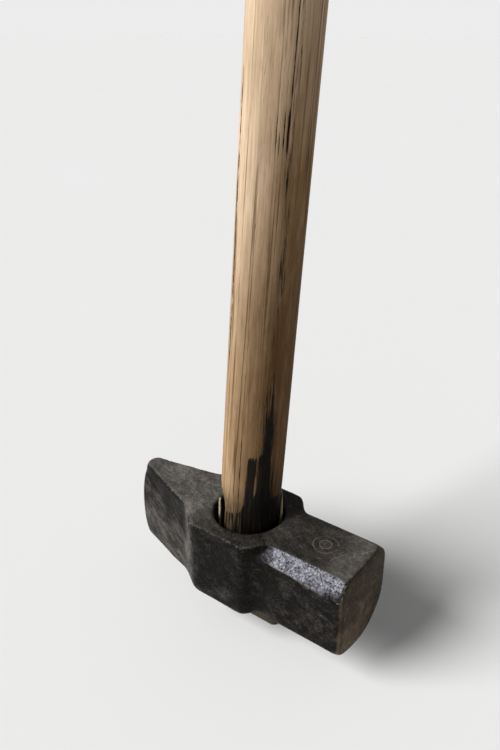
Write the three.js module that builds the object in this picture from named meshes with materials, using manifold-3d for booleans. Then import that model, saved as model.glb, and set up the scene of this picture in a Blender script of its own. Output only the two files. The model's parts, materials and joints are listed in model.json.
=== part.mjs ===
// Blacksmith's straight-peen hammer, in millimetres, +Z up.
//
// The origin is on the eye's axis at the foot: the sawn end of the wooden wedge, on which it stands.
// +Z runs up along the eye towards the grip, and +X points out of the striking face.
// The peen's edge is parallel to the handle, and the handle leans a little towards the striking face.

import * as THREE from 'three';
import { mergeVertices } from 'three/addons/utils/BufferGeometryUtils.js';
import Module from 'manifold-3d';

const manifold = await Module();
manifold.setup();

// ---- driving dimensions -------------------------------------------------------------------------

const GAP = 0.3; // clearance between touching pieces
const FAR_OUT = 120; // reach of the cutters that pass right through the head
const OVERSHOOT = 1; // how far a cutter runs past the surface that it opens

// head: heights are above the foot
const EYE_Z = 45; // middle of the eye
const HEAD_TOP = EYE_Z + 23.3;
const HEAD_BOTTOM = EYE_Z - 27;

const CHEEK_HALF = 28.4; // half the width over the cheeks
const CHEEK_PEEN_X = -18; // the flat of the cheeks runs from here
const CHEEK_FACE_X = 16.5; // to here
const CHEEK_ROUND = 3; // rounding of the cheeks' upright corners
const UNDER_BEVEL_Z = EYE_Z - 22.3; // the lower edges are drawn in from here down
const UNDER_BEVEL = 4.8; // how far in, at the underside
const PEEN_BEVEL_SHARE = 0.15; // the peen's lower edges are drawn in only this much of it
const SHOULDER_MITRE = 0.9; // the slanting shoulders move this much in X for each unit in Y

const PEEN_ROOT_X = -35.5;
const PEEN_ROOT_HALF = 17;
const PEEN_TIP_X = -84; // foremost point of the peen's bowed edge
const PEEN_NOSE_X = -76; // the sides run straight up to here
const PEEN_NOSE_HALF = 6.2;
const PEEN_BOW = 0.09; // how far the edge falls back at its top corner, as a share of the peen's length
const PEEN_BOW_Z = EYE_Z - 7.6; // height of the edge's foremost point
const PEEN_TOP_RISE = 2.3; // the peen is forged deeper than the rest of the head
const PEEN_BOTTOM_DROP = 1.6;
const PEEN_OFFSET = 2.6; // the peen's tip lies this far off the head's middle plane

const WAIST_X = 27.3; // where the cheeks run into the square poll
const WAIST_HALF = 15.5;
const FACE_X = 73.4; // crown of the striking face
const FACE_HALF = 23.75;
const FACE_CHAMFER = 7.1; // the poll's upper chamfers
const FACE_NEAR_CHAMFER_Z = EYE_Z - 19.2; // the near lower chamfer starts here
const FACE_NEAR_CHAMFER_Y = -19;
const FACE_NEAR_CHAMFER_FOOT = EYE_Z - 24.2;
const FACE_FAR_ROUND_Z = EYE_Z - 5; // the far lower corner is hammered round from here down
const FACE_FAR_ROUND_SHARE = 0.6; // how full that corner still is below, as a share of the half width
const FACE_BELLY_Z = EYE_Z - 28;
const FACE_EDGE_BEVEL = 2.8;
const FACE_EDGE_LENGTH = 2.9;
const CROWN_FLAT_RADIUS = 11;
const CROWN_RADIUS = 170;

// eye: a round hole, narrowest at the middle, with a small bevel at its upper mouth
const EYE_WAIST_R = 17.3;
const EYE_TOP_FLARE = 2.4;
const EYE_BOTTOM_FLARE = 2.4;
const EYE_MOUTH_BEVEL = 0.8;

// handle
const HANDLE_R = 16.15;
const HANDLE_LENGTH = 400;
const HANDLE_FOOT = HEAD_BOTTOM - 2; // the tenon's end stands a little proud of the underside
const HANDLE_AXIS_X = -0.8; // the handle's axis where it crosses the middle of the eye
const HANDLE_AXIS_Y = -0.86;
const HANDLE_LEAN_X = 0.0625; // run per unit of rise
const HANDLE_LEAN_Y = 0.014;
const HANDLE_END_ROUND = 5;
const HANDLE_SWELL = 0.25; // the handle is a little thicker close above the head
const SWELL_TOP = EYE_Z + 160;
const SWELL_FULL = EYE_Z + 60;
const NECK_TOP = EYE_Z + 45; // the neck is whittled from here
const NECK_BOTTOM = EYE_Z + 29; // to here
const NECK_R = 15.9; // before and behind
const NECK_FACE_R = 16.6; // towards the striking face
const NECK_PEEN_R = 12.2; // towards the peen

// wedges and shims
const WEDGE_TIP_Z = EYE_Z + 12;
const WEDGE_TIP_THICKNESS = 1.5;
const WEDGE_BUTT_THICKNESS = 11;
const WEDGE_TIP_HALF = 10;
const WEDGE_BUTT_HALF = 20.5;
const WEDGE_BUTT_X = 3; // the wedge was driven a little askew
const WEDGE_CORNER = 5;
const STEEL_WEDGE_WIDTH = 8.4;
const STEEL_WEDGE_THICKNESS = 3.4;
const STEEL_WEDGE_TIP = 0.8;
const STEEL_WEDGE_LENGTH = 22;
const STEEL_WEDGE_OUT = 5.8; // from the wooden wedge's face to the steel wedge's middle
const SHIM_THICKNESS = 1.6;
const SHIM_FOOT = EYE_Z + 3;
// each shim's direction from the eye's axis seen from above and half its spread, in degrees
const SHIMS = [
  { name: 'shim_peen_side', direction: 213, spread: 5, outerRadius: 17, top: HEAD_TOP + 7 },
  { name: 'shim_face_side', direction: 38, spread: 12, outerRadius: 18.6, top: HEAD_TOP + 11 },
];

// roundness
const ROUND_STEPS = 64;
const EYE_STEPS = 8;
const CROWN_STEPS = 4;
const HEAD_LEVELS = 20;
const OUTLINE_STEPS = 6;
const POLL_STEPS = 10;
const EDGE_STEPS = 2;
const NECK_STEPS = 4;
const SWELL_STEPS = 3;
const END_STEPS = 3;
const SHIM_STEPS = 3;
const WEDGE_LEVELS = 4;
const CURVE_REACH = 0.75; // a cubic curve's middle lies this share of the way to its two control points
const MERGE_DISTANCE = 1e-4;
const MIDLINE = 0.01; // points nearer to the handle's middle plane than this belong to neither half

// ---- colours ------------------------------------------------------------------------------------

const FORGED_STEEL = { color: 0x4c4944, roughness: 0.55, metalness: 0.85 };
const ASH_WOOD = { color: 0xa98f72, roughness: 0.7, metalness: 0 };
const WEDGE_WOOD = { color: 0x857253, roughness: 0.8, metalness: 0 };
const SHIM_WOOD = { color: 0xcbb594, roughness: 0.75, metalness: 0 };
const BARE_STEEL = { color: 0x7a7772, roughness: 0.5, metalness: 0.9 };

// ---- solids -------------------------------------------------------------------------------------

function solid(geometry) {
  const bare = geometry.clone();
  bare.deleteAttribute('normal');
  bare.deleteAttribute('uv');
  const merged = mergeVertices(bare, MERGE_DISTANCE);
  return new manifold.Manifold(new manifold.Mesh({
    numProp: 3,
    vertProperties: new Float32Array(merged.attributes.position.array),
    triVerts: new Uint32Array(merged.index.array),
  }));
}

function geometryOf(body) {
  const mesh = body.getMesh();
  const geometry = new THREE.BufferGeometry();
  geometry.setAttribute('position', new THREE.BufferAttribute(mesh.vertProperties, 3));
  geometry.setIndex(new THREE.BufferAttribute(mesh.triVerts, 1));
  geometry.computeVertexNormals();
  return geometry;
}

function degrees(angle) {
  return THREE.MathUtils.degToRad(angle);
}

function shapeOf(points) {
  return new THREE.Shape(points.map(([a, b]) => new THREE.Vector2(a, b)));
}

// An outline in X and Y, extruded up from one height to another.
function uprightPrism(shape, from, to, steps = 1) {
  const geometry = new THREE.ExtrudeGeometry(shape, {
    depth: to - from, steps, bevelEnabled: false, curveSegments: OUTLINE_STEPS,
  });
  return geometry.translate(0, 0, from);
}

// An outline in X and Z, extruded along Y, half of the width to each side.
function sidePrism(shape, halfWidth) {
  const geometry = new THREE.ExtrudeGeometry(shape, { depth: 2 * halfWidth, bevelEnabled: false });
  return geometry.rotateX(Math.PI / 2).translate(0, halfWidth, 0);
}

// A profile of [radius, height] points turned about the Z axis.
function turned(profile) {
  const points = profile.map(([r, z]) => new THREE.Vector2(r, z));
  return new THREE.LatheGeometry(points, ROUND_STEPS).rotateX(Math.PI / 2);
}

// Moves each vertex by a rule that takes and returns [x, y, z].
function warp(geometry, rule) {
  const position = geometry.attributes.position;
  for (let i = 0; i < position.count; i += 1) {
    position.setXYZ(i, ...rule(position.getX(i), position.getY(i), position.getZ(i)));
  }
  return geometry;
}

// ---- head ---------------------------------------------------------------------------------------

// The corners of one side of the head seen from above, from the waist round to the peen's nose.
function outlineCorners(sign) {
  const slope = (CHEEK_HALF - WAIST_HALF) / (WAIST_X - CHEEK_FACE_X);
  return {
    waist: [WAIST_X, sign * WAIST_HALF],
    facePastCorner: [CHEEK_FACE_X + CHEEK_ROUND / slope, sign * (CHEEK_HALF - CHEEK_ROUND)],
    faceCorner: [CHEEK_FACE_X, sign * CHEEK_HALF],
    faceBeforeCorner: [CHEEK_FACE_X - CHEEK_ROUND, sign * CHEEK_HALF],
    peenCorner: [CHEEK_PEEN_X, sign * CHEEK_HALF],
    root: [PEEN_ROOT_X, sign * PEEN_ROOT_HALF],
    nose: [PEEN_NOSE_X, sign * PEEN_NOSE_HALF],
  };
}

// The cheeks and the peen seen from above, symmetric about the X axis.
function cheekAndPeenOutline() {
  const shape = new THREE.Shape();
  const near = outlineCorners(-1);
  const far = outlineCorners(1);
  const reach = PEEN_NOSE_X + (PEEN_TIP_X - PEEN_NOSE_X) / CURVE_REACH;
  shape.moveTo(...near.waist);
  shape.lineTo(...far.waist);
  shape.lineTo(...far.facePastCorner);
  shape.quadraticCurveTo(...far.faceCorner, ...far.faceBeforeCorner);
  shape.lineTo(...far.peenCorner);
  shape.lineTo(...far.root);
  shape.lineTo(...far.nose);
  shape.bezierCurveTo(reach, PEEN_NOSE_HALF, reach, -PEEN_NOSE_HALF, ...near.nose);
  shape.lineTo(...near.root);
  shape.lineTo(...near.peenCorner);
  shape.lineTo(...near.faceBeforeCorner);
  shape.quadraticCurveTo(...near.faceCorner, ...near.facePastCorner);
  shape.closePath();
  return shape;
}

// Draws the lower edges in towards the underside.
function drawIn(x, y, z) {
  const depth = Math.max(0, (UNDER_BEVEL_Z - z) / (UNDER_BEVEL_Z - HEAD_BOTTOM));
  const towardsPeen = THREE.MathUtils.clamp((CHEEK_PEEN_X - x) / (CHEEK_PEEN_X - PEEN_ROOT_X), 0, 1);
  const inset = UNDER_BEVEL * depth * THREE.MathUtils.lerp(1, PEEN_BEVEL_SHARE, towardsPeen);
  return [x - (x > 0 ? SHOULDER_MITRE * inset : 0), y - Math.sign(y) * inset, z];
}

// Bows the peen's edge in height, and sets its tip off to one side.
function forgePeen(x, y, z) {
  if (x >= CHEEK_PEEN_X) {
    return [x, y, z];
  }
  const height = (z - PEEN_BOW_Z) / (HEAD_TOP - PEEN_BOW_Z);
  const run = (CHEEK_PEEN_X - x) / (CHEEK_PEEN_X - PEEN_TIP_X);
  const reach = 1 - PEEN_BOW * height * height * run;
  return [CHEEK_PEEN_X + (x - CHEEK_PEEN_X) * reach, y + PEEN_OFFSET * run * run, z];
}

// The head's side view without the poll: flat over the cheeks and deeper towards the peen's edge.
function sideOutline() {
  const tipTop = HEAD_TOP + PEEN_TOP_RISE;
  const tipBottom = HEAD_BOTTOM - PEEN_BOTTOM_DROP;
  return shapeOf([
    [WAIST_X + OVERSHOOT, HEAD_BOTTOM],
    [WAIST_X + OVERSHOOT, HEAD_TOP],
    [CHEEK_PEEN_X, HEAD_TOP],
    [PEEN_TIP_X, tipTop],
    [PEEN_TIP_X - OVERSHOOT, tipBottom],
    [CHEEK_PEEN_X, HEAD_BOTTOM],
  ]);
}

// The poll's section across the head: chamfered above and near below, and hammered round far below.
function pollSection() {
  const shape = new THREE.Shape();
  shape.moveTo(FACE_HALF, FACE_FAR_ROUND_Z);
  shape.lineTo(FACE_HALF, HEAD_TOP - FACE_CHAMFER);
  shape.lineTo(FACE_HALF - FACE_CHAMFER, HEAD_TOP);
  shape.lineTo(FACE_CHAMFER - FACE_HALF, HEAD_TOP);
  shape.lineTo(-FACE_HALF, HEAD_TOP - FACE_CHAMFER);
  shape.lineTo(-FACE_HALF, FACE_NEAR_CHAMFER_Z);
  shape.lineTo(FACE_NEAR_CHAMFER_Y, FACE_NEAR_CHAMFER_FOOT);
  shape.quadraticCurveTo(FACE_NEAR_CHAMFER_Y / 2, FACE_BELLY_Z, 0, FACE_BELLY_Z);
  shape.bezierCurveTo(
    FACE_HALF * FACE_FAR_ROUND_SHARE, FACE_BELLY_Z,
    FACE_HALF, (FACE_FAR_ROUND_Z + FACE_BELLY_Z) / 2,
    FACE_HALF, FACE_FAR_ROUND_Z,
  );
  return shape;
}

function pollBlock() {
  const geometry = new THREE.ExtrudeGeometry(pollSection(), {
    depth: FACE_X - 2 * FACE_EDGE_LENGTH,
    bevelEnabled: true,
    bevelThickness: FACE_EDGE_LENGTH,
    bevelSize: FACE_EDGE_BEVEL,
    bevelOffset: -FACE_EDGE_BEVEL,
    bevelSegments: EDGE_STEPS,
    curveSegments: POLL_STEPS,
  });
  // the section's first axis becomes Y, its second Z, and the extrusion runs along X
  return geometry.rotateX(Math.PI / 2).rotateZ(Math.PI / 2).translate(FACE_EDGE_LENGTH, 0, 0);
}

// A body turned about the X axis, whose end is flat in the middle and falls away to the rim.
function crown() {
  const rim = 2 * FACE_HALF;
  const profile = [[0, 0], [rim, 0]];
  for (let i = 0; i <= CROWN_STEPS; i += 1) {
    const r = rim + (CROWN_FLAT_RADIUS - rim) * (i / CROWN_STEPS);
    const fall = ((r - CROWN_FLAT_RADIUS) ** 2) / (2 * CROWN_RADIUS);
    profile.push([r, FACE_X - fall]);
  }
  profile.push([0, FACE_X]);
  const middle = (HEAD_TOP + FACE_BELLY_Z) / 2;
  return turned(profile).rotateY(Math.PI / 2).translate(0, 0, middle);
}

// The eye's radius at a height, from its waist out to each mouth.
function eyeRadius(z) {
  const above = z > EYE_Z;
  const reach = above ? HEAD_TOP - EYE_Z : EYE_Z - HEAD_BOTTOM;
  const flare = above ? EYE_TOP_FLARE : EYE_BOTTOM_FLARE;
  const share = Math.min(1, Math.abs(z - EYE_Z) / reach);
  return EYE_WAIST_R + flare * share * share;
}

// A plug that fills the eye, smaller all round by the given inset, and goes on above and below the head.
function eyePlug(inset, below, above) {
  const profile = [[0, below], [eyeRadius(HEAD_BOTTOM) - inset, below]];
  for (let i = 0; i <= EYE_STEPS; i += 1) {
    const z = HEAD_BOTTOM + (HEAD_TOP - HEAD_BOTTOM) * (i / EYE_STEPS);
    profile.push([eyeRadius(z) - inset, z]);
  }
  profile.push([eyeRadius(HEAD_TOP) - inset, above], [0, above]);
  return turned(profile);
}

function eyeMouthBevel() {
  const r = eyeRadius(HEAD_TOP);
  return turned([
    [0, HEAD_TOP - EYE_MOUTH_BEVEL],
    [r, HEAD_TOP - EYE_MOUTH_BEVEL],
    [r + 2 * EYE_MOUTH_BEVEL, HEAD_TOP + EYE_MOUTH_BEVEL],
    [0, HEAD_TOP + EYE_MOUTH_BEVEL],
  ]);
}

function headSolid() {
  const low = HEAD_BOTTOM - PEEN_BOTTOM_DROP - OVERSHOOT;
  const high = HEAD_TOP + PEEN_TOP_RISE + OVERSHOOT;
  const upright = uprightPrism(cheekAndPeenOutline(), low, high, HEAD_LEVELS);
  const cheeks = solid(warp(warp(upright, drawIn), forgePeen))
    .intersect(solid(sidePrism(sideOutline(), 2 * CHEEK_HALF)));
  const poll = solid(pollBlock()).intersect(solid(crown()));
  return cheeks
    .add(poll)
    .subtract(solid(eyePlug(0, HEAD_BOTTOM - 2 * OVERSHOOT, HEAD_TOP + 2 * OVERSHOOT)))
    .subtract(solid(eyeMouthBevel()));
}

// ---- handle -------------------------------------------------------------------------------------

function wedgeHalfThickness(z) {
  const share = (WEDGE_TIP_Z - z) / WEDGE_TIP_Z;
  return (WEDGE_TIP_THICKNESS + (WEDGE_BUTT_THICKNESS - WEDGE_TIP_THICKNESS) * share) / 2;
}

// How far the wedge has driven each half of the tenon sideways.
function spreadAt(z) {
  return z < WEDGE_TIP_Z ? wedgeHalfThickness(z) - WEDGE_TIP_THICKNESS / 2 : 0;
}

// How much of the neck's whittling has been reached, from 0 on the shaft to 1 at the eye.
function whittlingAt(z) {
  return THREE.MathUtils.smoothstep(NECK_TOP - z, 0, NECK_TOP - NECK_BOTTOM);
}

// The shaft's radius at a height before whittling.
function shaftRadius(z) {
  return HANDLE_R + HANDLE_SWELL * THREE.MathUtils.smoothstep(SWELL_TOP - z, 0, SWELL_TOP - SWELL_FULL);
}

// The heights at which the shaft's shape changes, from its foot up to where it runs straight.
function shaftHeights() {
  const heights = [HANDLE_FOOT, HEAD_BOTTOM, (HEAD_BOTTOM + EYE_Z) / 2, EYE_Z, WEDGE_TIP_Z, HEAD_TOP];
  for (let i = 0; i <= NECK_STEPS; i += 1) {
    heights.push(THREE.MathUtils.lerp(NECK_BOTTOM, NECK_TOP, i / NECK_STEPS));
  }
  for (let i = 0; i <= SWELL_STEPS; i += 1) {
    heights.push(THREE.MathUtils.lerp(SWELL_FULL, SWELL_TOP, i / SWELL_STEPS));
  }
  return heights;
}

// The shaft's straight and unwhittled profile, rounded over at its upper end.
function shaftProfile() {
  const top = HANDLE_FOOT + HANDLE_LENGTH;
  const profile = [[0, HANDLE_FOOT]];
  for (const z of shaftHeights()) {
    profile.push([shaftRadius(z), z]);
  }
  for (let i = 0; i <= END_STEPS; i += 1) {
    const turn = (Math.PI / 2) * (i / END_STEPS);
    profile.push([
      HANDLE_R - HANDLE_END_ROUND * (1 - Math.cos(turn)),
      top - HANDLE_END_ROUND * (1 - Math.sin(turn)),
    ]);
  }
  profile.push([0, top]);
  return profile;
}

// The shaft, larger all round by the given margin: leaning, with the neck whittled and the tenon spread.
function shaft(margin) {
  return warp(turned(shaftProfile()), (x, y, z) => {
    const whittled = whittlingAt(z);
    const radius = shaftRadius(z);
    const sideways = THREE.MathUtils.lerp(radius, x < 0 ? NECK_PEEN_R : NECK_FACE_R, whittled);
    const across = THREE.MathUtils.lerp(radius, NECK_R, whittled);
    const spread = Math.abs(y) < MIDLINE ? 0 : Math.sign(y) * spreadAt(z);
    const rise = z - EYE_Z;
    return [
      x * ((sideways + margin) / radius) + HANDLE_AXIS_X + HANDLE_LEAN_X * rise,
      y * ((across + margin) / radius) + spread + HANDLE_AXIS_Y + HANDLE_LEAN_Y * rise,
      z,
    ];
  });
}

// The saw cut that the wooden wedge is driven into, right across the tenon.
function kerf() {
  const foot = HANDLE_FOOT - OVERSHOOT;
  const top = WEDGE_TIP_Z + OVERSHOOT;
  const section = shapeOf([
    [-wedgeHalfThickness(foot) - GAP, foot],
    [wedgeHalfThickness(foot) + GAP, foot],
    [wedgeHalfThickness(top) + GAP, top],
    [-wedgeHalfThickness(top) - GAP, top],
  ]);
  const geometry = new THREE.ExtrudeGeometry(section, { depth: 2 * FAR_OUT, bevelEnabled: false });
  return geometry.rotateX(Math.PI / 2).rotateZ(Math.PI / 2).translate(-FAR_OUT, HANDLE_AXIS_Y, 0);
}

function handleSolid() {
  return solid(shaft(0))
    .intersect(solid(eyePlug(GAP, HANDLE_FOOT - OVERSHOOT, HEAD_TOP)).add(solid(aboveHead())))
    .subtract(solid(kerf()))
    .subtract(solid(steelWedge(-1, GAP)))
    .subtract(solid(steelWedge(1, GAP)));
}

// Everything above the head, where the eye no longer bounds the handle.
function aboveHead() {
  const low = HEAD_TOP - OVERSHOOT;
  const high = HANDLE_FOOT + HANDLE_LENGTH + OVERSHOOT;
  return new THREE.BoxGeometry(FAR_OUT, FAR_OUT, high - low).translate(0, 0, (low + high) / 2);
}

// ---- wedges and shims ---------------------------------------------------------------------------

// Four-sided wooden wedge, thin and narrow at its tip, with the butt's upright corners rounded.
function woodenWedge() {
  const outline = new THREE.Shape();
  const half = WEDGE_BUTT_HALF;
  const thick = WEDGE_BUTT_THICKNESS / 2;
  const c = WEDGE_CORNER;
  outline.moveTo(half, c - thick);
  outline.lineTo(half, thick - c);
  outline.quadraticCurveTo(half, thick, half - c, thick);
  outline.lineTo(c - half, thick);
  outline.quadraticCurveTo(-half, thick, -half, thick - c);
  outline.lineTo(-half, c - thick);
  outline.quadraticCurveTo(-half, -thick, c - half, -thick);
  outline.lineTo(half - c, -thick);
  outline.quadraticCurveTo(half, -thick, half, c - thick);
  return warp(uprightPrism(outline, 0, WEDGE_TIP_Z, WEDGE_LEVELS), (x, y, z) => {
    const share = z / WEDGE_TIP_Z;
    const narrow = 1 - share * (1 - WEDGE_TIP_HALF / WEDGE_BUTT_HALF);
    const thin = wedgeHalfThickness(z) / thick;
    const middle = THREE.MathUtils.lerp(WEDGE_BUTT_X, HANDLE_AXIS_X, share);
    return [x * narrow + middle, y * thin + HANDLE_AXIS_Y, z];
  });
}

// Small steel wedge in one half of the tenon, larger all round by the given margin.
function steelWedge(sign, margin) {
  const butt = HANDLE_FOOT - margin;
  const tip = HANDLE_FOOT + STEEL_WEDGE_LENGTH + margin;
  const width = STEEL_WEDGE_WIDTH + 2 * margin;
  const buttHalf = STEEL_WEDGE_THICKNESS / 2 + margin;
  const tipHalf = STEEL_WEDGE_TIP / 2 + margin;
  const section = shapeOf([[-buttHalf, butt], [buttHalf, butt], [tipHalf, tip], [-tipHalf, tip]]);
  const y = HANDLE_AXIS_Y + sign * (wedgeHalfThickness(HANDLE_FOOT) + STEEL_WEDGE_OUT);
  const x = HANDLE_AXIS_X + HANDLE_LEAN_X * (HANDLE_FOOT - EYE_Z);
  return sidePrism(section, width / 2).translate(x, y, 0);
}

// A thin curved sliver standing between the neck and the eye's wall.
function shimSolid({ direction, spread, outerRadius, top }) {
  const wall = (z) => Math.min(eyeRadius(z) - GAP, outerRadius);
  const profile = [];
  for (let i = 0; i <= SHIM_STEPS; i += 1) {
    const z = THREE.MathUtils.lerp(SHIM_FOOT, top, i / SHIM_STEPS);
    profile.push([wall(z), z]);
  }
  profile.push([wall(top) - SHIM_THICKNESS, top]);
  profile.push([wall(SHIM_FOOT) - SHIM_THICKNESS / 2, SHIM_FOOT], profile[0]);
  const reach = 2 * outerRadius;
  const ray = (angle) => [reach * Math.cos(degrees(angle)), reach * Math.sin(degrees(angle))];
  const sector = shapeOf([[0, 0], ray(direction - spread), ray(direction + spread)]);
  return solid(turned(profile))
    .intersect(solid(uprightPrism(sector, SHIM_FOOT - OVERSHOOT, top + OVERSHOOT)))
    .subtract(solid(shaft(GAP)));
}

// ---- assembly -----------------------------------------------------------------------------------

const hammer = new THREE.Group();

function add(name, geometry, look) {
  const mesh = new THREE.Mesh(geometry, new THREE.MeshStandardMaterial(look));
  mesh.name = name;
  hammer.add(mesh);
}

add('hammer_head', geometryOf(headSolid()), FORGED_STEEL);
add('handle', geometryOf(handleSolid()), ASH_WOOD);
add('wooden_wedge', woodenWedge(), WEDGE_WOOD);
add('steel_wedge_near', steelWedge(-1, 0), BARE_STEEL);
add('steel_wedge_far', steelWedge(1, 0), BARE_STEEL);
for (const shim of SHIMS) {
  add(shim.name, geometryOf(shimSolid(shim)), SHIM_WOOD);
}

export default hammer;
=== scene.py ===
import json
from math import radians

import bpy
import numpy as np
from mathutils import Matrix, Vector, noise


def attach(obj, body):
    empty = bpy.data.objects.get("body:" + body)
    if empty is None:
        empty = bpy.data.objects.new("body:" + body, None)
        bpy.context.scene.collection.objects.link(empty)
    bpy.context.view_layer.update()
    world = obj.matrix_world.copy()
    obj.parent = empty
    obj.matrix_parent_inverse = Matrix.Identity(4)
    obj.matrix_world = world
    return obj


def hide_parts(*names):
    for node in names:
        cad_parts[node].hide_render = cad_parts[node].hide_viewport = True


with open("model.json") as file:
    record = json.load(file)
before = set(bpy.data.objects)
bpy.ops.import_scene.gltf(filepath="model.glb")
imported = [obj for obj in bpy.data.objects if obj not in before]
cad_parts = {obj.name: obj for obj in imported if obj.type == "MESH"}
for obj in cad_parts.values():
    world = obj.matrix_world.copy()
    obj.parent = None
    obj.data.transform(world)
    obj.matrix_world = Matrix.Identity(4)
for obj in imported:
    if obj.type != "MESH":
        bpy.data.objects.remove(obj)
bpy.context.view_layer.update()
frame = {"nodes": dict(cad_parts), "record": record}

# A straight-peen hammer stands head down on a pale floor. Each of its pieces is a fine mesh remade
# from a CAD node, then softened, dented and marked. The materials read the marks.

MM = 0.001

# ---- driving dimensions, in metres ---------------------------------------------------------------

MOUNTS = {mount["name"]: mount for mount in frame["record"]["mounts"]}
EYE_Z = MOUNTS["near_cheek"]["pos_m"][2]
FACE_X = MOUNTS["striking_face"]["pos_m"][0]
HANDLE_END = Vector(MOUNTS["handle_end"]["pos_m"])
HEAD_TOP = EYE_Z + 23.3 * MM
HEAD_BOTTOM = EYE_Z - 27 * MM
HANDLE_AXIS = Vector((-0.8 * MM, -0.86 * MM, EYE_Z))
NECK_TOP = EYE_Z + 45 * MM
EYE_RIM_R = 19.7 * MM
POLL_HALF = 23.75 * MM
CHAMFER = 7.1 * MM

# places along the head, from the middle of the eye
PEEN_TIP_X = -84 * MM
PEEN_ROOT_X = -35.5 * MM
CHEEK_PEEN_X = -18 * MM
WAIST_X = 26.5 * MM

# ---- small helpers on arrays of points -----------------------------------------------------------


def smoothstep(value, start, end):
    share = np.clip((value - start) / (end - start), 0, 1)
    return share * share * (3 - 2 * share)


def hump(value, middle, width):
    """1 at the middle, falling softly to almost nothing two widths away."""
    return np.exp(-(((value - middle) / width) ** 2))


def noise_field(points, size, seed):
    """Smooth noise from about -1 to 1. The size of its lumps is one number, or one for each axis."""
    scaled = points / np.asarray(size, float) + np.array([17.3, 5.1, 9.7]) * seed
    return np.array([noise.noise(Vector(point)) for point in scaled])


# ---- fine surfaces made from the CAD nodes -------------------------------------------------------


class Skin:
    """A fine mesh over one CAD node, which is smoothed, dented and marked before it becomes a piece."""

    def __init__(self, node, voxel):
        self.node = node
        work = bpy.data.objects.new("work", frame["nodes"][node].data.copy())
        bpy.context.scene.collection.objects.link(work)
        remesh = work.modifiers.new("fine", "REMESH")
        remesh.mode = "VOXEL"
        remesh.voxel_size = voxel
        evaluated = work.evaluated_get(bpy.context.evaluated_depsgraph_get())
        self.mesh = bpy.data.meshes.new_from_object(evaluated)
        bpy.data.objects.remove(work)
        count = len(self.mesh.vertices)
        self.points = np.empty(count * 3)
        self.mesh.vertices.foreach_get("co", self.points)
        self.points = self.points.reshape(-1, 3)
        edges = np.empty(len(self.mesh.edges) * 2, int)
        self.mesh.edges.foreach_get("vertices", edges)
        edges = edges.reshape(-1, 2)
        self.ends = np.concatenate([edges, edges[:, ::-1]])
        self.degree = np.maximum(np.bincount(self.ends[:, 0], minlength=count), 1)
        self.marks = {}

    def average(self, values):
        """The mean of each point's neighbours."""
        columns = values.reshape(len(values), -1)
        summed = [
            np.bincount(self.ends[:, 0], columns[self.ends[:, 1], i], len(columns))
            for i in range(columns.shape[1])
        ]
        return (np.stack(summed, 1) / self.degree[:, None]).reshape(values.shape)

    def relax(self, rounds, weight=1.0):
        """Softens edges. The weight, one number or one for each point, says how much."""
        share = 0.5 * np.broadcast_to(np.asarray(weight, float), len(self.points))[:, None]
        for _ in range(rounds):
            self.points += share * (self.average(self.points) - self.points)

    def normals(self):
        self.mesh.vertices.foreach_set("co", self.points.ravel())
        self.mesh.update()
        found = np.empty(len(self.points) * 3, np.float32)
        self.mesh.vertex_normals.foreach_get("vector", found)
        return found.reshape(-1, 3).astype(float)

    def push(self, amount):
        """Moves each point along its normal, outwards for a positive amount."""
        self.points += self.normals() * np.asarray(amount)[:, None]

    def bulge(self, rounds):
        """How far each point stands out of its softened surroundings. It is below 0 in hollows."""
        softened = self.points.copy()
        for _ in range(rounds):
            softened += 0.5 * (self.average(softened) - softened)
        return np.einsum("ij,ij->i", self.points - softened, self.normals())

    def piece(self, name, material):
        self.mesh.vertices.foreach_set("co", self.points.ravel())
        self.mesh.polygons.foreach_set("use_smooth", np.ones(len(self.mesh.polygons), bool))
        self.mesh.update()
        for mark, values in self.marks.items():
            self.mesh.attributes.new(mark, "FLOAT", "POINT").data.foreach_set("value", values)
        self.mesh.materials.clear()
        self.mesh.materials.append(material)
        made = bpy.data.objects.new(name, self.mesh)
        bpy.context.scene.collection.objects.link(made)
        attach(made, "root")
        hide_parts(self.node)
        return made


# ---- node helpers --------------------------------------------------------------------------------


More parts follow.
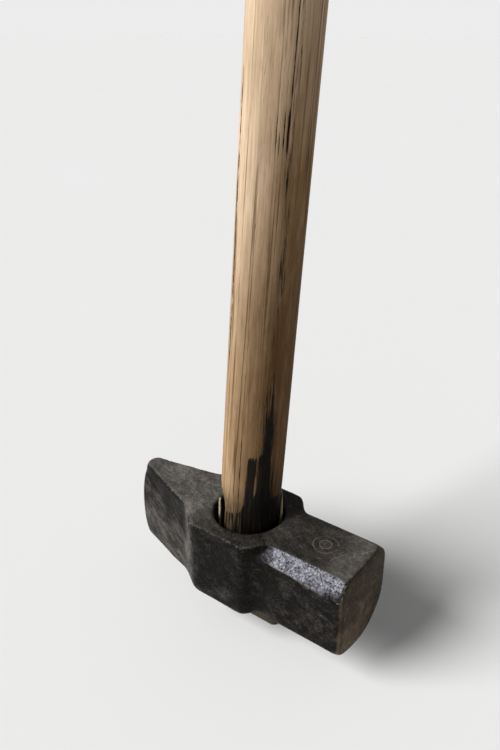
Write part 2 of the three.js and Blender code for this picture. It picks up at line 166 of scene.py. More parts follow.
class Look:
    """One procedural material. Most methods add nodes and return the socket that carries the result."""

    def __init__(self, name):
        self.material = bpy.data.materials.new(name)
        self.material.use_nodes = True
        self.tree = self.material.node_tree
        self.shader = self.tree.nodes["Principled BSDF"]
        self.place = self.add("ShaderNodeTexCoord").outputs["Object"]

    def add(self, kind, values=None, **settings):
        made = self.tree.nodes.new(kind)
        for name, setting in settings.items():
            setattr(made, name, setting)
        for socket, value in (values or {}).items():
            self.put(made.inputs[socket], value)
        return made

    def put(self, socket, value):
        if isinstance(value, bpy.types.NodeSocket):
            self.tree.links.new(value, socket)
        else:
            socket.default_value = value

    def give(self, name, value):
        """Sets one input of the material's shader, to a number or to the result of a node."""
        self.put(self.shader.inputs[name], value)

    def mark(self, name):
        return self.add("ShaderNodeAttribute", attribute_name=name).outputs["Fac"]

    def stretched(self, scale, turn=(0, 0, 0)):
        """The place on the object, turned and then scaled."""
        angles = [radians(angle) for angle in turn]
        turned = self.add("ShaderNodeMapping", {"Vector": self.place, "Rotation": angles}).outputs[0]
        return self.add("ShaderNodeMapping", {"Vector": turned, "Scale": scale}).outputs[0]

    def noise(self, scale, detail=4, roughness=0.55, place=None, distortion=0.0):
        values = {
            "Vector": place or self.place,
            "Scale": scale,
            "Detail": detail,
            "Roughness": roughness,
            "Distortion": distortion,
        }
        return self.add("ShaderNodeTexNoise", values).outputs["Fac"]

    def math(self, operation, a, b=0.0, c=0.0, clamp=False):
        """One step of arithmetic. MULTIPLY_ADD is a times b, plus c."""
        made = self.add("ShaderNodeMath", {0: a, 1: b, 2: c}, operation=operation, use_clamp=clamp)
        return made.outputs[0]

    def ramp(self, value, stops):
        """A colour chosen by a number, from a list of (number, screen colour)."""
        made = self.add("ShaderNodeValToRGB", {"Fac": value})
        elements = made.color_ramp.elements
        while len(elements) < len(stops):
            elements.new(1.0)
        for element, (position, shade) in zip(elements, stops):
            element.position = position
            element.color = colour(*shade)
        return made.outputs["Color"]

    def between(self, value, low, high):
        """0 below low, 1 above high, and a straight run between them."""
        values = {"Value": value, "From Min": low, "From Max": high, "To Min": 0.0, "To Max": 1.0}
        return self.add("ShaderNodeMapRange", values, clamp=True).outputs[0]

    def times(self, a, b):
        return self.math("MULTIPLY", a, b)

    def most(self, a, b):
        return self.math("MAXIMUM", a, b)

    def mix(self, share, a, b):
        """A colour between two others."""
        made = self.add("ShaderNodeMix", data_type="RGBA")
        for socket, value in zip(made.inputs[0:1] + made.inputs[6:8], (share, a, b)):
            self.put(socket, value)
        return made.outputs[2]

    def multiply(self, a, b):
        """One colour darkened by another."""
        made = self.add("ShaderNodeMix", data_type="RGBA", blend_type="MULTIPLY")
        for socket, value in zip(made.inputs[0:1] + made.inputs[6:8], (1.0, a, b)):
            self.put(socket, value)
        return made.outputs[2]

    def blend(self, share, a, b):
        """A number between two others."""
        made = self.add("ShaderNodeMix", data_type="FLOAT")
        for socket, value in zip(made.inputs[0:1] + made.inputs[2:4], (share, a, b)):
            self.put(socket, value)
        return made.outputs[0]

    def bump(self, height, distance, strength=1.0, under=None):
        values = {"Height": height, "Distance": distance, "Strength": strength}
        if under:
            values["Normal"] = under
        return self.add("ShaderNodeBump", values).outputs[0]


def colour(red, green, blue):
    """A colour given as it looks on a screen, from 0 to 255, as the linear values that shaders take."""
    screen = np.array([red, green, blue]) / 255
    linear = np.where(screen <= 0.04045, screen / 12.92, ((screen + 0.055) / 1.055) ** 2.4)
    return (*linear.tolist(), 1.0)


# ---- materials -----------------------------------------------------------------------------------

# ramps of steel colours: how light the spot is, and its colour on a screen
STEEL_TONES = (
    (0.0, (9, 7, 6)),
    (0.25, (32, 29, 26)),
    (0.5, (57, 54, 50)),
    (0.75, (84, 80, 76)),
    (1.0, (122, 118, 112)),
)
STRUCK_TONES = ((0.38, (24, 19, 12)), (0.5, (54, 45, 32)), (0.62, (88, 76, 58)))

# families of scratches: each one's turn in degrees, and how rare they are
SCRATCHES = (((0, 0, 24), 0.70), ((0, 30, -38), 0.71), ((35, 0, 70), 0.71), ((0, 0, -8), 0.72))


def forged_steel():
    """Dark forge scale, brown on the struck face, a bright speckled chamfer, and rubbed edges with
    painted highlights.
    """
    look = Look("forged_steel")
    mottle = look.noise(190, 5, 0.68)
    fine = look.noise(620, 4, 0.7)
    scratches = scratch_marks(look)
    black, brown = forge_scale(look, mottle, fine, scratches), struck_scale(look, mottle, fine)
    base = look.mix(look.mark("struck"), black, brown)
    base = look.mix(look.times(ring_lines(look), 0.5), base, colour(128, 118, 108))
    base = look.mix(look.times(look.mark("soot"), 0.85), base, colour(14, 12, 11))
    patches = look.math("SUBTRACT", look.noise(260, 3), 0.5)
    grains = look.math("MULTIPLY_ADD", patches, 0.35, look.noise(950, 3, 0.72, distortion=0.3))
    speckle = look.between(grains, 0.36, 0.7)
    bright = look.between(look.math("MULTIPLY_ADD", patches, 0.9, look.mark("bright")), 0.2, 0.95)
    bare = look.mix(speckle, colour(34, 34, 39), colour(152, 152, 160))
    # pale edges: partly real wear, partly a painted highlight along the rounded edges that catch the key
    worn = look.times(look.mark("worn"), look.between(look.noise(420, 3, 0.7), 0.48, 0.62))
    base = look.mix(look.times(worn, 0.8), base, colour(158, 154, 148))
    look.give("Base Color", look.mix(bright, base, bare))
    look.give("Metallic", look.times(bright, 0.45))
    rough = look.blend(look.between(mottle, 0.35, 0.65), 0.42, 0.6)
    look.give("Roughness", look.blend(bright, rough, look.blend(speckle, 0.62, 0.5)))
    look.give("Specular IOR Level", 0.06)
    lumps = look.bump(mottle, 0.5 * MM, 0.5)
    pits = look.bump(look.between(look.noise(1700, 2, 0.6), 0.3, 0.6), 0.12 * MM, 0.6, lumps)
    lines = look.bump(look.math("SUBTRACT", 1.0, scratches), 0.08 * MM, 0.5, pits)
    look.give("Normal", look.bump(look.times(speckle, bright), 0.2 * MM, 0.5, lines))
    return look.material


def forge_scale(look, mottle, fine, scratches):
    """Black scale under clouds and slanting smears of grey dust, sooty and painted with shade on the
    sides, rubbed and painted with light above.
    """
    clouds = look.between(look.noise(55, 4, 0.62, distortion=0.6), 0.3, 0.7)
    slanted = look.stretched((90, 300, 260), (25, -35, 20))
    smears = look.between(look.noise(1, 5, 0.7, place=slanted), 0.34, 0.66)
    grit = look.noise(1500, 2, 0.6)
    smeared = look.math("MULTIPLY_ADD", smears, 1.2, clouds)
    contrast = look.blend(look.mark("rubbed_and_lit"), 0.42, 0.2)
    tone = look.math("MULTIPLY_ADD", look.math("SUBTRACT", smeared, 1.1), contrast, look.mark("tone"))
    tone = look.math("MULTIPLY_ADD", look.math("SUBTRACT", mottle, 0.5), 0.3, tone)
    tone = look.math("MULTIPLY_ADD", look.math("SUBTRACT", grit, 0.5), 0.5, tone)
    tone = look.math("MULTIPLY_ADD", look.math("SUBTRACT", fine, 0.5), 0.6, tone, clamp=True)
    soot = look.between(look.noise(80, 5, 0.68, distortion=0.9), 0.5, 0.62)
    soot = look.times(soot, look.between(look.mark("tone"), 0.3, 0.16))
    rubbed_and_lit = look.mix(look.times(soot, 0.55), look.ramp(tone, STEEL_TONES), colour(15, 14, 14))
    return look.mix(look.times(scratches, look.between(tone, -0.3, 1.4)), rubbed_and_lit, colour(138, 134, 126))


def ring_lines(look):
    """The worn rings of the forge mark, whose grooves hold pale dust."""
    found = None
    for radius in RING_RADII:
        away = look.math("ABSOLUTE", look.math("SUBTRACT", look.mark("ring"), radius / MM))
        line = look.between(away, 0.5, 0.2)
        found = look.most(found, line) if found else line
    return look.times(found, look.between(look.noise(170, 4, 0.7), 0.2, 0.52))


def struck_scale(look, mottle, fine):
    """Brown scale on the striking face, with rust-brown patches, most of them low on the near side."""
    struck = look.ramp(look.math("ADD", look.times(mottle, 0.6), look.times(fine, 0.4)), STRUCK_TONES)
    earthy = look.between(look.noise(75, 4, 0.6), 0.46, 0.62)
    struck = look.mix(look.times(earthy, 0.6), struck, colour(50, 42, 30))
    patches = look.math("MULTIPLY_ADD", look.mark("rust"), 0.16, look.noise(130, 4, 0.7, distortion=0.5))
    return look.mix(look.times(look.between(patches, 0.5, 0.7), 0.75), struck, colour(98, 82, 66))


def scratch_marks(look):
    """Thin straight marks in a few directions, each 1 along its middle."""
    marks = None
    for turn, level in SCRATCHES:
        lines = look.noise(1, 2, 0.4, place=look.stretched((1900, 70, 1900), turn))
        found = look.between(lines, level, level + 0.04)
        marks = look.most(marks, found) if marks else found
    return marks


def wood(name, pale, dark, ring_width, pith, tilt=(0, 0, 0)):
    """Wood whose fibres run along Z once tilted: the material, its colour and the height of its grain."""
    look = Look(name)
    along = look.stretched((1, 1, 0.035), tilt)
    wander = look.noise(60, 3, 0.5, place=along)
    flat = look.add("ShaderNodeMapping", {"Vector": along, "Location": pith, "Scale": (1, 1, 0)})
    reach = look.add("ShaderNodeVectorMath", {0: flat.outputs[0]}, operation="LENGTH").outputs["Value"]
    rings = look.math("FRACT", look.math("MULTIPLY_ADD", wander, 2.6, look.times(reach, 1 / ring_width)))
    late = look.times(look.between(rings, 0.55, 0.93), look.between(rings, 1.0, 0.94))
    fibre = look.noise(1, 3, 0.6, place=look.stretched((1900, 1900, 40), tilt))
    bands = look.noise(1, 3, 0.6, place=look.stretched((420, 420, 7), tilt))
    pores = look.between(look.noise(1, 2, 0.5, place=look.stretched((2600, 2600, 90), tilt)), 0.6, 0.74)
    patches = look.noise(38, 4, 0.6, place=look.stretched((1, 1, 0.3), tilt))
    base = look.mix(look.between(patches, 0.35, 0.65), pale, dark)
    base = look.mix(look.times(look.between(bands, 0.4, 0.7), 0.4), base, faded(dark, 0.72))
    base = look.mix(look.times(look.between(fibre, 0.42, 0.66), 0.45), base, faded(dark, 0.62))
    base = look.mix(look.times(late, 0.2), base, faded(dark, 0.5))
    base = look.mix(look.times(pores, 0.45), base, faded(dark, 0.35))
    sunk = look.math("ADD", look.times(late, 0.2), look.times(pores, 0.5))
    height = look.math("SUBTRACT", look.times(fibre, 0.7), sunk)
    return look, base, height


def faded(shade, share):
    """A colour darkened to a share of itself."""
    return (*(share * value for value in shade[:3]), 1.0)


def handle_wood():
    """Raw pale wood, stained and painted with shade on one side, with hair lines, cracks darkened by
    painted shade, and black paint near the head.
    """
    lean = (HANDLE_END - HANDLE_AXIS).to_track_quat("Z", "Y").inverted().to_euler()
    tilt = [np.degrees(angle) for angle in lean]
    pale, dark = colour(228, 203, 173), colour(196, 170, 140)
    look, base, height = wood("handle_wood", pale, dark, 3.4 * MM, (0.021, 0.038, 0), tilt)
    base = stained_and_shaded(look, base, tilt)
    lines = hair_lines(look, tilt)
    base = look.mix(look.times(lines, 0.7), base, look.multiply(base, colour(104, 80, 60)))
    crack_shade = painted_crack_shade(look, tilt)
    # painted shade darkens the inside of each crack
    base = look.mix(crack_shade, base, colour(26, 19, 14))
    paint = painted(look, tilt)
    thin = look.noise(1, 3, 0.7, place=look.stretched((900, 900, 60), tilt))
    tone = look.mix(look.between(thin, 0.45, 0.75), colour(4, 4, 4), colour(25, 22, 18))
    look.give("Base Color", look.mix(look.times(paint, 0.97), base, tone))
    look.give("Roughness", look.blend(paint, look.blend(height, 0.75, 0.65), 0.55))
    look.give("Specular IOR Level", 0.07)
    grain = look.bump(look.math("SUBTRACT", height, lines), 0.1 * MM, 0.5)
    look.give("Normal", look.bump(paint, 0.1 * MM, 0.4, grain))
    return look.material


def stained_and_shaded(look, base, tilt):
    """Cloudy brown stain with painted shade on the side away from the key, the wood darker towards the
    head, and soot in the grain beside the eye.
    """
    clouds = look.math("SUBTRACT", look.noise(1, 5, 0.7, place=look.stretched((120, 120, 22), tilt)), 0.5)
    # the stain mark is partly a real brown stain and partly painted shade on the handle's shaded side
    stain_and_shade = look.math("MULTIPLY_ADD", clouds, 0.6, look.mark("stain_and_shade"), clamp=True)
    base = look.mix(stain_and_shade, base, look.multiply(base, colour(140, 124, 102)))
    dirt = look.math("MULTIPLY_ADD", clouds, 0.9, look.mark("dirt"), clamp=True)
    base = look.mix(dirt, base, look.multiply(base, colour(194, 182, 164)))
    dusty = look.between(look.noise(1, 4, 0.65, place=look.stretched((430, 430, 40), tilt)), 0.3, 0.52)
    return look.mix(look.times(look.times(look.mark("grime"), dusty), 0.85), base, colour(44, 36, 27))


def hair_lines(look, tilt):
    """Long thin dark lines along the grain, broken here and there."""
    swirl = look.noise(1, 1, 0.5, place=look.stretched((230, 230, 2.5), tilt))
    away = look.math("ABSOLUTE", look.math("SUBTRACT", swirl, 0.5))
    gaps = look.noise(1, 3, 0.6, place=look.stretched((190, 190, 14), tilt))
    return look.times(look.between(away, 0.03, 0.01), look.between(gaps, 0.42, 0.56))


def painted_crack_shade(look, tilt):
    """Painted shade inside the drying cracks, from each one's distance in half widths."""
    fringe = look.noise(1, 4, 0.7, place=look.stretched((700, 700, 160), tilt))
    ragged = look.times(look.math("SUBTRACT", fringe, 0.5), 3.2)
    found = None
    for number in range(len(CRACKS)):
        away = look.math("ABSOLUTE", look.mark(f"crack_{number}"))
        dark = look.between(look.math("ADD", away, ragged), 1.2, 0.6)
        found = look.most(found, dark) if found else dark
    return found


def painted(look, tilt):
    """Where black paint still covers the wood. Its edges are streaky, from the brush and from use."""
    streaks = look.noise(1, 4, 0.72, place=look.stretched((760, 760, 34), tilt))
    edge = look.math("MULTIPLY_ADD", look.math("SUBTRACT", streaks, 0.5), 2.6, look.mark("paint"))
    return look.between(edge, 0.36, 0.72)


def rough_wood(name, pale, dark, ring_width):
    """Sawn or split wood with dirt in its grain."""
    look, base, height = wood(name, pale, dark, ring_width, (0.03, 0.05, 0))
    dirt = look.between(look.noise(160, 5, 0.7), 0.45, 0.7)
    look.give("Base Color", look.mix(look.times(dirt, 0.4), base, faded(dark, 0.4)))
    look.give("Roughness", look.blend(height, 0.85, 0.7))
    look.give("Specular IOR Level", 0.25)
    saw = look.noise(1, 2, 0.5, place=look.stretched((90, 2400, 700), (0, 0, 12)))
    grain = look.bump(height, 0.3 * MM, 0.7)
    look.give("Normal", look.bump(saw, 0.15 * MM, 0.5, grain))
    return look.material


def wedge_steel():
    """Mild steel, dull and spotted, bright where the hammer that drove it struck."""
    look = Look("wedge_steel")
    spots = look.between(look.noise(900, 4, 0.7), 0.45, 0.6)
    tone = look.mix(spots, colour(122, 118, 114), colour(84, 76, 68))
    worn = look.times(look.mark("worn"), 0.7)
    look.give("Base Color", look.mix(worn, tone, colour(190, 188, 184)))
    look.give("Roughness", look.blend(spots, 0.38, 0.62))
    look.give("Metallic", 0.9)
    look.give("Normal", look.bump(look.noise(1400, 4, 0.7), 0.15 * MM, 0.5))
    return look.material


def pale_floor():
    look = Look("studio_floor")
    white = look.mix(look.noise(2, 2), (0.84, 0.84, 0.83, 1), (0.86, 0.86, 0.86, 1))
    look.give("Base Color", white)
    look.give("Roughness", 0.9)
    look.give("Specular IOR Level", 0)
    return look.material


# ---- head ----------------------------------------------------------------------------------------


def hammer_head():
    skin = Skin("hammer_head", 0.62 * MM)
    skin.relax(5)
    skin.relax(8, smoothstep(skin.bulge(6), 0.04 * MM, 0.12 * MM))
    soften_waist(skin)
    round_eye_mouths(skin)
    widen_chamfer(skin)
    forge_dents(skin)
    peen_hollow(skin)
    ring_mark(skin)
    mark_head(skin)
    return skin.piece("forged_head", forged_steel())


def from_eye(points):
    return np.hypot(points[:, 0], points[:, 1])


def soften_waist(skin):
    """The cheeks run into the poll and the peen in soft hollows and rounds, not in creases."""
    x = skin.points[:, 0]
    outside = smoothstep(from_eye(skin.points), EYE_RIM_R + 1 * MM, EYE_RIM_R + 5 * MM)
    chamfered = smoothstep(skin.points[:, 2], HEAD_TOP - 10 * MM, HEAD_TOP - 6 * MM)
    waist = hump(x, WAIST_X, 6 * MM) * outside * (1 - 0.75 * chamfered)
    root = hump(x, PEEN_ROOT_X, 8 * MM) * (1 - 0.8 * chamfered)
    corner = hump(x, CHEEK_PEEN_X, 2 * MM) * outside * (1 - chamfered) * 0.3
    skin.relax(60, np.clip(waist + root + corner, 0, 1))


def round_eye_mouths(skin):
    """Takes the sharp edge off both mouths of the eye."""
    depth = np.minimum(np.abs(skin.points[:, 2] - HEAD_TOP), np.abs(skin.points[:, 2] - HEAD_BOTTOM))
    mouth = hump(from_eye(skin.points), EYE_RIM_R, 3 * MM) * smoothstep(depth, 4 * MM, 1 * MM)
    skin.relax(12, mouth)


CHAMFER_SPREAD = 2.3 * MM


def widen_chamfer(skin):
    """The near chamfer was ground steeper towards the striking face, so it widens there."""
    x, y, z = skin.points.T
    drop = CHAMFER + CHAMFER_SPREAD * smoothstep(x, 36 * MM, 70 * MM)
    across, up = drop / np.hypot(drop, CHAMFER), CHAMFER / np.hypot(drop, CHAMFER)
    proud = (z - HEAD_TOP) * up - (y + POLL_HALF - CHAMFER) * across
    amount = np.maximum(proud, 0) * smoothstep(x, 34 * MM, 44 * MM)
    skin.points[:, 1] += amount * across
    skin.points[:, 2] -= amount * up


def forge_dents(skin):
    """Flats that are never quite flat, hammer dents, scale pits, and nicks along the edges."""
    points = skin.points
    amount = 0.20 * MM * noise_field(points, 19 * MM, 1) + 0.06 * MM * noise_field(points, 6 * MM, 2)
    amount -= 0.12 * MM * smoothstep(noise_field(points, 2.6 * MM, 3), 0.32, 0.6)
    edge = smoothstep(skin.bulge(6), 0.03 * MM, 0.12 * MM)
    amount -= 0.10 * MM * edge * smoothstep(noise_field(points, 6 * MM, 4), 0.3, 0.6)
    skin.push(amount)


FOLD_DEPTH = 19 * MM
FOLD_LENGTH = 60 * MM


def fold_depth(x):
    """How far below the head's top the crease on the peen's near side runs, from tip to cheek."""
    return FOLD_DEPTH * np.sqrt(np.clip((x - PEEN_TIP_X) / FOLD_LENGTH, 0, 1))


def peen_hollow(skin):
    """A shallow facet drawn under the near upper edge of the peen, ending below in a crease."""
    x, y, z = skin.points.T
    along = smoothstep(-x, 22 * MM, 36 * MM) * smoothstep(-x, 84 * MM, 74 * MM) * (y < 0)
    below = HEAD_TOP - z - fold_depth(x)
    facet = smoothstep(below, 1 * MM, -3 * MM) * smoothstep(HEAD_TOP - z, 1.5 * MM, 5 * MM)
    skin.push(-along * (0.5 * MM * facet + 0.4 * MM * hump(below, -0.5 * MM, 2 * MM)))


RING_CENTRE = (49 * MM, 0.5 * MM)
RING_RADII = (6.6 * MM, 3.2 * MM)
RING_DEPTH = 0.28 * MM
NO_RING = 12


def ring_mark(skin):
    """A plain forge mark on the poll's upper flat: two shallow rings, struck by a punch and worn."""
    x, y, z = skin.points.T
    reach = np.hypot(x - RING_CENTRE[0], y - RING_CENTRE[1])
    cut = sum(hump(reach, radius, 0.55 * MM) for radius in RING_RADII)
    worn = smoothstep(noise_field(skin.points, 7 * MM, 5), -0.5, 0.3)
    on_top = z > HEAD_TOP - 2 * MM
    skin.push(-RING_DEPTH * cut * worn * on_top)
    skin.marks["ring"] = np.where(on_top, np.minimum(reach / MM, NO_RING), NO_RING)


def mark_head(skin):
    """Says where the steel is bright, struck, rusty, sooty or worn, and where light and shade are
    painted, for the material to read.
    """
    x, y, z = skin.points.T
    normals = skin.normals()
    skin.marks["bright"] = bright_chamfer(skin.points, normals)
    front = smoothstep(x, FACE_X - 9 * MM, FACE_X - 5 * MM)
    skin.marks["struck"] = front * smoothstep(normals[:, 0], 0.3, 0.75)
    skin.marks["rust"] = smoothstep(HEAD_TOP - z, 16 * MM, 40 * MM) * smoothstep(y, 14 * MM, -8 * MM)
    bulge = skin.bulge(10)
    hollow = smoothstep(-bulge, 0.03 * MM, 0.16 * MM)
    inside = smoothstep(from_eye(skin.points), EYE_RIM_R + 0.3 * MM, EYE_RIM_R - 0.6 * MM)
    rim = face_rim(skin.points, normals) * front
    skin.marks["soot"] = np.clip(rim + 0.7 * hollow + inside, 0, 1)
    # facing up: the rubbed flats, which also carry painted light, while the sides carry painted shade
    skin.marks["rubbed_and_lit"] = smoothstep(normals[:, 2], 0.55, 0.92)
    # the corner between peen and cheek: speckles of painted highlight where it faces the key
    corner = 0.35 * hump(x, -24 * MM, 5 * MM) * (1 - skin.marks["rubbed_and_lit"])
    # edges that stand out: partly real wear, partly a painted highlight line where they catch the key
    skin.marks["worn"] = np.maximum(smoothstep(bulge, 0.14 * MM, 0.26 * MM), corner) * (1 - inside)
    skin.marks["tone"] = steel_tone(skin.points, skin.marks["rubbed_and_lit"])


def bright_chamfer(points, normals):
    """The near upper chamfer, dressed bright, and duller low down and beside the striking face."""
    x, y, z = points.T
    near = (y < 0) * smoothstep(normals @ np.array([0, -0.7071, 0.7071]), 0.90, 0.975)
    run = smoothstep(x, 22 * MM, 33 * MM) * smoothstep(x, FACE_X - 1.5 * MM, FACE_X - 3.5 * MM)
    below = HEAD_TOP - z
    dull = smoothstep(x, FACE_X - 14 * MM, FACE_X - 8 * MM) * smoothstep(below, 5.5 * MM, 8 * MM)
    return near * run * (1 - 0.55 * dull) * (1 - 0.3 * smoothstep(below, 4 * MM, 8 * MM))


def face_rim(points, normals):
    """The sooty line a little inside the striking face's edge, broken here and there."""
    _, y, z = points.T
    inner = np.abs(np.maximum(np.abs(y), np.abs(z - EYE_Z + 1 * MM)) - (POLL_HALF - 2.8 * MM))
    broken = smoothstep(noise_field(points, 4 * MM, 7), -0.6, 0.2)
    return hump(inner, 0, 0.6 * MM) * smoothstep(normals[:, 0], 0.5, 0.75) * broken


def steel_tone(points, above):
    """How light the scale is, from 0, sooty, to 1, rubbed grey. The flats above are the most worn and
    carry painted light, and the sides carry painted shade, as the key falls on each face.
    """
    x, y, z = points.T
    below = HEAD_TOP - z
    peenwards = smoothstep(-x, 20 * MM, 42 * MM)
    upper = 0.56 + 0.20 * peenwards - 0.21 * hump(x, 8 * MM, 20 * MM) * smoothstep(-y, 0, 15 * MM)
    upper += 0.15 * smoothstep(x, 52 * MM, 68 * MM) + 0.17 * hump(x, -24 * MM, 9 * MM)
    upper -= 0.18 * hump(x, 42 * MM, 13 * MM)
    # painted shadow of the handle on the top, on the far side of the eye towards the striking face
    upper -= 0.2 * hump(x, 12 * MM, 14 * MM) * smoothstep(y, 8 * MM, 18 * MM)
    low = smoothstep(below, 18 * MM, 40 * MM)
    facet = smoothstep(below - fold_depth(x), 1.5 * MM, -1 * MM) * smoothstep(-x, 20 * MM, 30 * MM)
    side = 0.14 - 0.06 * hump(x, 0, 20 * MM) - 0.12 * hump(x, 27 * MM, 8 * MM)
    # the corner between peen and cheek is lighter as a painted highlight where it faces the key
    side += peenwards * (0.12 + 0.24 * low) + 0.25 * hump(x, -25 * MM, 6 * MM) - 0.14 * facet
    side -= 0.07 * smoothstep(x, 48 * MM, 62 * MM)
    return above * upper + (1 - above) * side


# ---- handle --------------------------------------------------------------------------------------


def on_handle(points):
    """Each point's direction from the handle's leaning axis, in degrees, and its distance from it."""
    slope = (HANDLE_END - HANDLE_AXIS) / (HANDLE_END.z - HANDLE_AXIS.z)
    rise = points[:, 2] - HANDLE_AXIS.z
    x = points[:, 0] - HANDLE_AXIS.x - slope.x * rise
    y = points[:, 1] - HANDLE_AXIS.y - slope.y * rise
    return np.degrees(np.arctan2(y, x)), np.hypot(x, y)


# the paint's left and right edges, each as (height in mm, direction in degrees)
PAINT_LEFT = (
    (60, -130),
    (74, -120),
    (78, -84),
    (84, -68),
    (110, -64),
    (113, -60),
    (116, -43),
    (150, -38),
    (158, -33),
)
PAINT_RIGHT = (
    (60, 160),
    (84, 150),
    (86, -8),
    (97, -13),
    (109, -20),
    (130, -21),
    (137, -26),
    (158, -33),
)

# cracks as direction, lowest and highest point, half width and depth
CRACKS = (
    (-37.5, 276 * MM, 430 * MM, 0.22 * MM, 0.4 * MM),
    (-39, 258 * MM, 281 * MM, 0.62 * MM, 0.9 * MM),
    (-46, 259 * MM, 280 * MM, 0.26 * MM, 0.5 * MM),
    (-52, 258 * MM, 274 * MM, 0.2 * MM, 0.3 * MM),
    (-57, 258 * MM, 279 * MM, 0.2 * MM, 0.3 * MM),
    (-127, 160 * MM, 296 * MM, 0.7 * MM, 0.6 * MM),
    (60, 120 * MM, 300 * MM, 0.35 * MM, 0.5 * MM),
    (150, 180 * MM, 417 * MM, 0.4 * MM, 0.6 * MM),
    (-79, 70 * MM, 128 * MM, 0.2 * MM, 0.3 * MM),
)


def handle():
    skin = Skin("handle", 0.72 * MM)
    skin.relax(3)
    shave(skin)
    split_cracks(skin)
    mark_handle(skin)
    return skin.piece("ash_handle", handle_wood())


def shave(skin):
    """Long flats left by the drawknife, and short cuts where the neck was whittled to fit the eye."""
    z = skin.points[:, 2]
    long_flats = noise_field(skin.points, (13 * MM, 13 * MM, 120 * MM), 11)
    short_cuts = noise_field(skin.points, (5 * MM, 5 * MM, 15 * MM), 12)
    out_of_eye = HEAD_TOP - 4 * MM
    neck = smoothstep(z, NECK_TOP + 12 * MM, NECK_TOP) * smoothstep(z, out_of_eye, HEAD_TOP + 3 * MM)
    free = smoothstep(z, out_of_eye, HEAD_TOP + 10 * MM)
    skin.push(0.07 * MM * free * long_flats + neck * (0.2 * MM * short_cuts - 0.05 * MM))


def split_cracks(skin):
    """Drying cracks along the grain. Each leaves a mark: how many half widths its middle is away."""
    direction, radius = on_handle(skin.points)
    z = skin.points[:, 2]
    depth = np.zeros(len(z))
    for number, (middle, low, high, half_width, deep) in enumerate(CRACKS):
        wander = 1.5 * noise_field(np.stack([0 * z, 0 * z, z], 1), 45 * MM, 20 + number)
        away = np.radians((direction - middle - wander + 180) % 360 - 180) * radius
        ends = smoothstep(z, low, low + 8 * MM) * smoothstep(z, high, high - 8 * MM)
        taper = ends * (radius > 10 * MM)
        depth = np.maximum(depth, deep * taper * hump(away, 0, max(half_width, 0.4 * MM)))
        skin.marks[f"crack_{number}"] = np.clip(away / (half_width * taper + 0.02 * MM), -9, 9)
    skin.push(-depth)


def mark_handle(skin):
    """Says where the paint has run, where the wood is stained and painted with shade, and where the forge
    has left grime.
    """
    direction, radius = on_handle(skin.points)
    z = skin.points[:, 2]
    left, right = (
        np.interp(z / MM, [height for height, _ in edge], [turn for _, turn in edge])
        for edge in (PAINT_LEFT, PAINT_RIGHT)
    )
    covered = np.clip(0.5 + np.minimum(direction - left, right - direction) / 20, 0, 1)
    worn_through = 0.45 * smoothstep(direction, -64, -84) * smoothstep(direction, 170, 140)
    scraped = 0.75 * hump(direction, -49.5, 3) * smoothstep(z, 86 * MM, 93 * MM)
    skin.marks["paint"] = np.clip(covered - worn_through - scraped, 0, 1) * (radius > 6 * MM)
    far_end = 0.4 * smoothstep(z, HANDLE_END.z - 4 * MM, HANDLE_END.z)
    skin.marks["grime"] = smoothstep(z, 98 * MM, 76 * MM) + far_end
    # partly stain, partly painted shade: darker on the side turned away from the key, fading higher up
    # the handle
    shaded = 0.7 * smoothstep(direction, -118, -66) + 0.3 * smoothstep(direction, -60, -20)
    fades_higher = 0.45 * smoothstep(z, 240 * MM, 320 * MM)
    skin.marks["stain_and_shade"] = shaded * smoothstep(direction, 150, 90) * (1 - fades_higher)
    skin.marks["dirt"] = smoothstep(z, 285 * MM, 120 * MM)


# ---- wedges and shims ----------------------------------------------------------------------------


def wooden_wedge():
    """The sawn wedge, whose end stands below the head with splintered and dented sides."""
    skin = Skin("wooden_wedge", 0.5 * MM)
    skin.relax(3)
    depth = smoothstep(skin.points[:, 2], HEAD_BOTTOM - 1 * MM, HEAD_BOTTOM - 5 * MM)
    splinters = noise_field(skin.points, (1.3 * MM, 1.3 * MM, 14 * MM), 31)
    dents = noise_field(skin.points, 5 * MM, 32)
    sides = 1 - np.abs(skin.normals()[:, 2])
    skin.push(-depth * sides * (0.18 * MM * np.abs(splinters) + 0.22 * MM * np.abs(dents)))
    material = rough_wood("wedge_wood", colour(86, 76, 61), colour(64, 55, 42), 2.2 * MM)
    return skin.piece("wooden_wedge_sawn", material)


def steel_wedge(side, seed):
    """A small steel wedge, its butt dented and spread into a lip by the hammer that drove it."""
    skin = Skin(f"steel_wedge_{side}", 0.25 * MM)
    skin.relax(3)
    above = skin.points[:, 2] - skin.points[:, 2].min()
    sides = 1 - np.abs(skin.normals()[:, 2])
    dents = np.abs(noise_field(skin.points, 1.6 * MM, seed))
    lip = 0.15 * MM * sides * smoothstep(above, 1.6 * MM, 0.4 * MM)
    skin.push(lip - 0.12 * MM * dents * smoothstep(above, 3 * MM, 0))
    skin.marks["worn"] = smoothstep(skin.bulge(6), 0.02 * MM, 0.1 * MM)
    return skin.piece(f"steel_wedge_{side}_driven", wedge_steel())


def shim(side, seed):
    """A split sliver, thinnest at its upper end."""
    skin = Skin(f"shim_{side}", 0.3 * MM)
    skin.relax(3)
    top = skin.points[:, 2].max()
    feathered = smoothstep(skin.points[:, 2], top - 16 * MM, top)
    splinters = np.abs(noise_field(skin.points, (0.9 * MM, 0.9 * MM, 9 * MM), seed))
    skin.push(-0.12 * MM * splinters - 0.3 * MM * feathered)
    pale, dark = colour(222, 204, 170), colour(188, 166, 130)
    material = rough_wood(f"shim_wood_{side}", pale, dark, 1.8 * MM)
    return skin.piece(f"shim_{side}_split", material)


# ---- studio --------------------------------------------------------------------------------------

CAMERA_PLACE = (0.1889, -0.2505, 0.3060)
CAMERA_AIM = (0.00054, 0, 0.15145)
CAMERA_LENS = 33.6


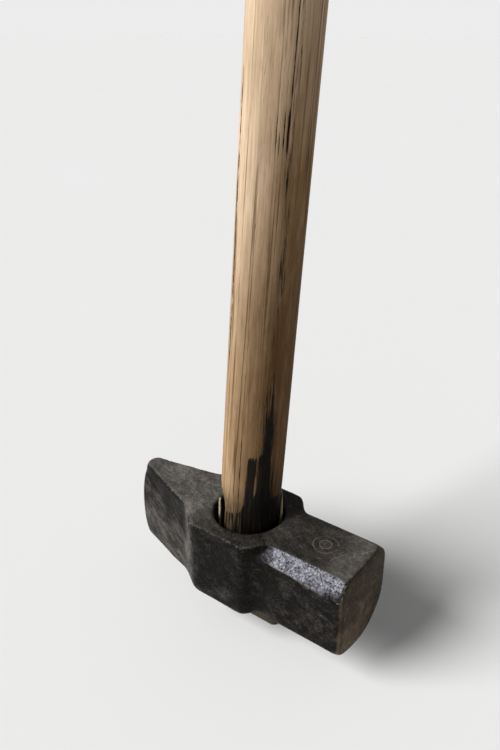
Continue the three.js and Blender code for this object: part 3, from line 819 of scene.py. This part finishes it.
def aimed(data, place, aim):
    """Puts a lamp or a camera somewhere, looking at a point."""
    made = bpy.data.objects.new(data.name, data)
    bpy.context.scene.collection.objects.link(made)
    made.location = place
    made.rotation_euler = (Vector(aim) - Vector(place)).to_track_quat("-Z", "Y").to_euler()
    return made


KEY_FROM = (-0.45, -0.7, 0.6)
KEY_STRENGTH = 4.2
KEY_SOFTNESS = 34
HORIZON_GLOW = 0.84
CEILING_GLOW = 0.16
GLOW_FADES = (0.12, 0.35)  # heights above the horizon, as a share of straight up
FLOOR_REACH = 30


def studio():
    camera = bpy.data.cameras.new("camera")
    camera.lens = CAMERA_LENS
    camera.clip_start = 0.01
    bpy.context.scene.camera = aimed(camera, CAMERA_PLACE, CAMERA_AIM)
    key = bpy.data.lights.new("key", "SUN")
    key.energy = KEY_STRENGTH
    key.angle = radians(KEY_SOFTNESS)
    aimed(key, KEY_FROM, (0, 0, 0))
    bpy.context.scene.world = studio_sky()
    bpy.context.scene.view_settings.view_transform = "Standard"
    studio_floor()


def studio_sky():
    """Pale at the horizon, so that the floor has no far edge, and dim overhead."""
    world = bpy.data.worlds.new("studio")
    world.use_nodes = True
    tree = world.node_tree
    direction = tree.nodes.new("ShaderNodeTexCoord")
    split = tree.nodes.new("ShaderNodeSeparateXYZ")
    fade = tree.nodes.new("ShaderNodeMapRange")
    fade.inputs["From Min"].default_value, fade.inputs["From Max"].default_value = GLOW_FADES
    fade.inputs["To Min"].default_value = HORIZON_GLOW
    fade.inputs["To Max"].default_value = CEILING_GLOW
    tree.links.new(direction.outputs["Generated"], split.inputs[0])
    tree.links.new(split.outputs["Z"], fade.inputs["Value"])
    tree.links.new(fade.outputs[0], tree.nodes["Background"].inputs["Strength"])
    tree.nodes["Background"].inputs["Color"].default_value = (1, 1, 1, 1)
    return world


def studio_floor():
    mesh = bpy.data.meshes.new("studio_floor")
    signs = ((-1, -1), (1, -1), (1, 1), (-1, 1))
    corners = [(FLOOR_REACH * x, FLOOR_REACH * y, 0) for x, y in signs]
    mesh.from_pydata(corners, [], [(0, 1, 2, 3)])
    mesh.materials.append(pale_floor())
    floor = bpy.data.objects.new("studio_floor", mesh)
    bpy.context.scene.collection.objects.link(floor)


# ---- assembly ------------------------------------------------------------------------------------

hammer_head()
handle()
wooden_wedge()
for seed, side in enumerate(("near", "far"), 41):
    steel_wedge(side, seed)
for seed, side in enumerate(("peen_side", "face_side"), 51):
    shim(side, seed)
studio()
